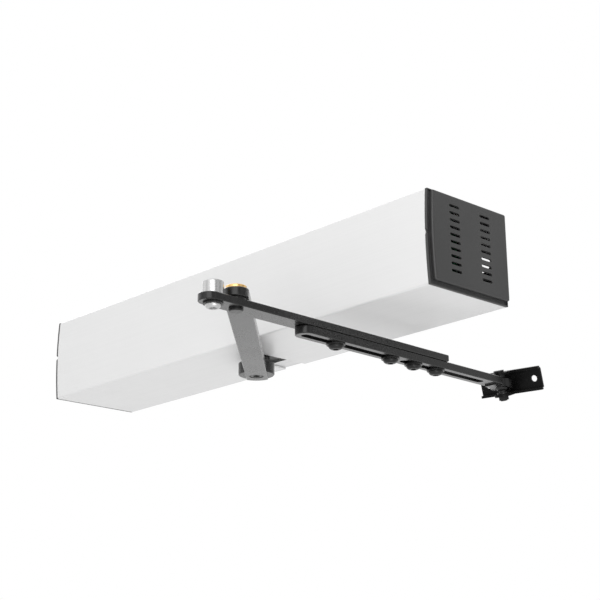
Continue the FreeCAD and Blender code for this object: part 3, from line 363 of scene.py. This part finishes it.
def copper_windings():
    return finish("copper_windings", TURNING_RINGS, scale=40.0, depth=0.25 * MM,
                  base=(0.5, 0.2, 0.07), tone=(0.22, 0.07, 0.025), edge=(0.7, 0.34, 0.15),
                  metallic=0.9, roughness=(0.22, 0.4), wear=0.2)


def spring_wire():
    return finish("spring_wire", CAST_SKIN, scale=700.0, depth=0.01 * MM, base=grey(0.2),
                  tone=grey(0.14), edge=grey(0.35), metallic=1.0, roughness=(0.25, 0.42),
                  dust=0.0)


def black_oxide():
    """The oiled black of hardened screws, rubbed bright where a key turns them."""
    return finish("black_oxide", CAST_SKIN, scale=1100.0, depth=0.003 * MM, base=grey(0.012),
                  tone=grey(0.018), edge=BARE_STEEL, roughness=(0.24, 0.38), rounding=0.5 * MM,
                  wear=0.15, bare_metal=True, coat=0.3, ior=1.25)


def black_plastic():
    return finish("black_plastic", MOULDED_GRAIN, scale=1800.0, depth=0.015 * MM,
                  base=grey(0.022), tone=grey(0.03), edge=grey(0.06), roughness=(0.3, 0.46))


def circuit_board():
    return finish("circuit_board", ORANGE_PEEL, scale=300.0, depth=0.03 * MM,
                  base=(0.012, 0.1, 0.04), tone=(0.02, 0.16, 0.07), edge=(0.3, 0.26, 0.12),
                  roughness=(0.18, 0.34))


def turned_brass():
    return finish("turned_brass", TURNING_RINGS, scale=70.0, depth=0.004 * MM,
                  base=(0.86, 0.58, 0.24), tone=(0.76, 0.48, 0.18), edge=(0.95, 0.72, 0.38),
                  metallic=1.0, roughness=(0.16, 0.3), wear=0.4, dust=0.04)


def terminal_plastic():
    return finish("terminal_plastic", MOULDED_GRAIN, scale=1800.0, depth=0.015 * MM,
                  base=(0.03, 0.16, 0.06), tone=(0.035, 0.19, 0.075), edge=(0.1, 0.3, 0.16),
                  roughness=(0.32, 0.48))


def hub_coating():
    """A satin black coat over the turned hub and pin."""
    return finish("hub_coating", TURNING_RINGS, scale=50.0, depth=0.002 * MM, base=grey(0.01),
                  tone=grey(0.016), edge=BARE_STEEL, roughness=(0.24, 0.38), rounding=0.8 * MM,
                  wear=0.1, bare_metal=True, coat=0.5, ior=1.3)


def arm_paint():
    """A satin black powder coat, worn to the steel at its edges."""
    return finish("arm_paint", ORANGE_PEEL, scale=700.0, depth=0.001 * MM, base=grey(0.006),
                  tone=grey(0.009), edge=BARE_STEEL, roughness=(0.24, 0.32), rounding=0.5 * MM,
                  wear=0.05, bare_metal=True, coat=0.8, ior=1.3)


def bracket_paint():
    return finish("bracket_paint", ORANGE_PEEL, scale=900.0, depth=0.003 * MM, base=grey(0.004),
                  tone=grey(0.006), edge=BARE_STEEL, roughness=(0.3, 0.42), rounding=0.5 * MM,
                  wear=0.08, bare_metal=True, ior=1.2)


FINISHES = {
    "cover": silver_cover, "end_caps": cap_plastic, "chassis": mill_aluminium,
    "gearbox_paint": gearbox_painted_shade, "castings": cast_aluminium, "bright_steel": ground_steel,
    "polished_steel": polished_steel, "gears": gear_steel, "motor_shell": motor_plating,
    "rotor_steel": rotor_steel, "windings": copper_windings, "spring_steel": spring_wire,
    "black_screws": black_oxide, "black_plastic": black_plastic,
    "circuit_board": circuit_board, "brass_parts": turned_brass,
    "terminals": terminal_plastic, "hub_steel": hub_coating, "arm_paint": arm_paint,
    "bracket_paint": bracket_paint,
}


def dress_nodes():
    """Gives each node of the frame the finish that its slot names."""
    made = {slot: build() for slot, build in FINISHES.items()}
    for part in frame["record"]["subparts"]:
        for socket in frame["nodes"][part["node"]].material_slots:
            socket.material = made[part["material_slot"]]


# ---------------------------------------------------------------- studio

FLOOR_DROP = 2.3
FLOOR_REACH = 14.0
FLOOR_COLOUR = grey(0.88)
FLOOR_ROUGHNESS = 0.7


def floor_finish():
    material = bpy.data.materials.new("pale_floor")
    material.use_nodes = True
    shader = material.node_tree.nodes["Principled BSDF"]
    shader.inputs["Base Color"].default_value = opaque(FLOOR_COLOUR)
    shader.inputs["Roughness"].default_value = FLOOR_ROUGHNESS
    return material


def make_floor():
    """A plain pale square, far enough below the part to take no hard shadow."""
    corners = [(x * FLOOR_REACH, y * FLOOR_REACH, -FLOOR_DROP)
               for x, y in ((-1, -1), (1, -1), (1, 1), (-1, 1))]
    mesh = bpy.data.meshes.new("floor")
    mesh.from_pydata(corners, [], [(0, 1, 2, 3)])
    mesh.materials.append(floor_finish())
    floor = bpy.data.objects.new("floor", mesh)
    bpy.context.scene.collection.objects.link(floor)


# Each light's name, place, width and power in watts.
LIGHTS = (
    ("key", (0.6, -2.4, 1.4), 1.6, 4.0),
    ("rim", (-2.2, 0.9, 1.6), 1.4, 10.0),
    ("low_fill", (2.3, -1.2, -1.6), 1.8, 24.0),
    ("near_front", (0.95, -1.1, 0.35), 0.9, 4.0),
)
LIT_POINT = (0.0, -0.1, -0.05)


def soft_light(name, place, size, power):
    """A round area light that faces the part and isn't seen itself."""
    data = bpy.data.lights.new(name, "AREA")
    data.shape = "DISK"
    data.size = size
    data.energy = power
    light = bpy.data.objects.new(name, data)
    bpy.context.scene.collection.objects.link(light)
    light.location = place
    aim = Vector(LIT_POINT) - Vector(place)
    light.rotation_euler = aim.to_track_quat("-Z", "Y").to_euler()
    light.visible_camera = False


# The sky's mean strength, how many bright panels it has and how much brighter than the mean
# they are, and the direction that it brightens in.
SKY_LEVEL = 0.80
SKY_PANELS = 7.0
SKY_CONTRAST = 0.20
SKY_SLOPE = (-0.26, -0.08, 0.35)


def make_sky():
    """A pale studio of upright panels: white to the eye, brightest above and to the left."""
    world = bpy.data.worlds.new("studio")
    bpy.context.scene.world = world
    world.use_nodes = True
    tree = world.node_tree
    tree.nodes.clear()
    direction = add(tree, "ShaderNodeTexCoord").outputs["Generated"]
    slope = vector_maths(tree, "DOT_PRODUCT", direction, SKY_SLOPE).outputs["Value"]
    bearing = add(tree, "ShaderNodeSeparateXYZ", Vector=direction).outputs
    around = maths(tree, "ARCTAN2", bearing["Y"], bearing["X"])
    wave = maths(tree, "SINE", maths(tree, "MULTIPLY", around, SKY_PANELS))
    panels = maths(tree, "MULTIPLY_ADD", wave, SKY_CONTRAST, SKY_LEVEL)
    level = maths(tree, "ADD", slope, panels)
    lit = add(tree, "ShaderNodeBackground", Color=opaque(grey(1.0)), Strength=level)
    seen = add(tree, "ShaderNodeBackground", Color=opaque(grey(1.0)), Strength=1.0)
    eye = add(tree, "ShaderNodeLightPath").outputs["Is Camera Ray"]
    both = tree.nodes.new("ShaderNodeMixShader")
    tree.links.new(eye, both.inputs[0])
    tree.links.new(lit.outputs[0], both.inputs[1])
    tree.links.new(seen.outputs[0], both.inputs[2])
    tree.links.new(both.outputs[0], tree.nodes.new("ShaderNodeOutputWorld").inputs[0])


# Metres, degrees, and millimetres for the lens and the sensor.
CAMERA_PLACE = (1.31896, -1.23760, -0.52347)
CAMERA_YAW = 46.5988
CAMERA_PITCH = 17.1471
CAMERA_ROLL = -0.6899
CAMERA_LENS = 87.43
CAMERA_SENSOR = 36.0


def make_camera():
    """Below and to the right of the box, looking up along it."""
    data = bpy.data.cameras.new("camera")
    data.sensor_width = CAMERA_SENSOR
    data.lens = CAMERA_LENS
    camera = bpy.data.objects.new("camera", data)
    bpy.context.scene.collection.objects.link(camera)
    camera.matrix_world = (
        Matrix.Translation(CAMERA_PLACE)
        @ Matrix.Rotation(math.radians(CAMERA_YAW), 4, "Z")
        @ Matrix.Rotation(math.radians(90.0 + CAMERA_PITCH), 4, "X")
        @ Matrix.Rotation(math.radians(CAMERA_ROLL), 4, "Z"))
    bpy.context.scene.camera = camera


def make_studio():
    make_floor()
    make_sky()
    for light in LIGHTS:
        soft_light(*light)
    make_camera()
    bpy.context.scene.view_settings.view_transform = "Standard"


dress_nodes()
make_studio()
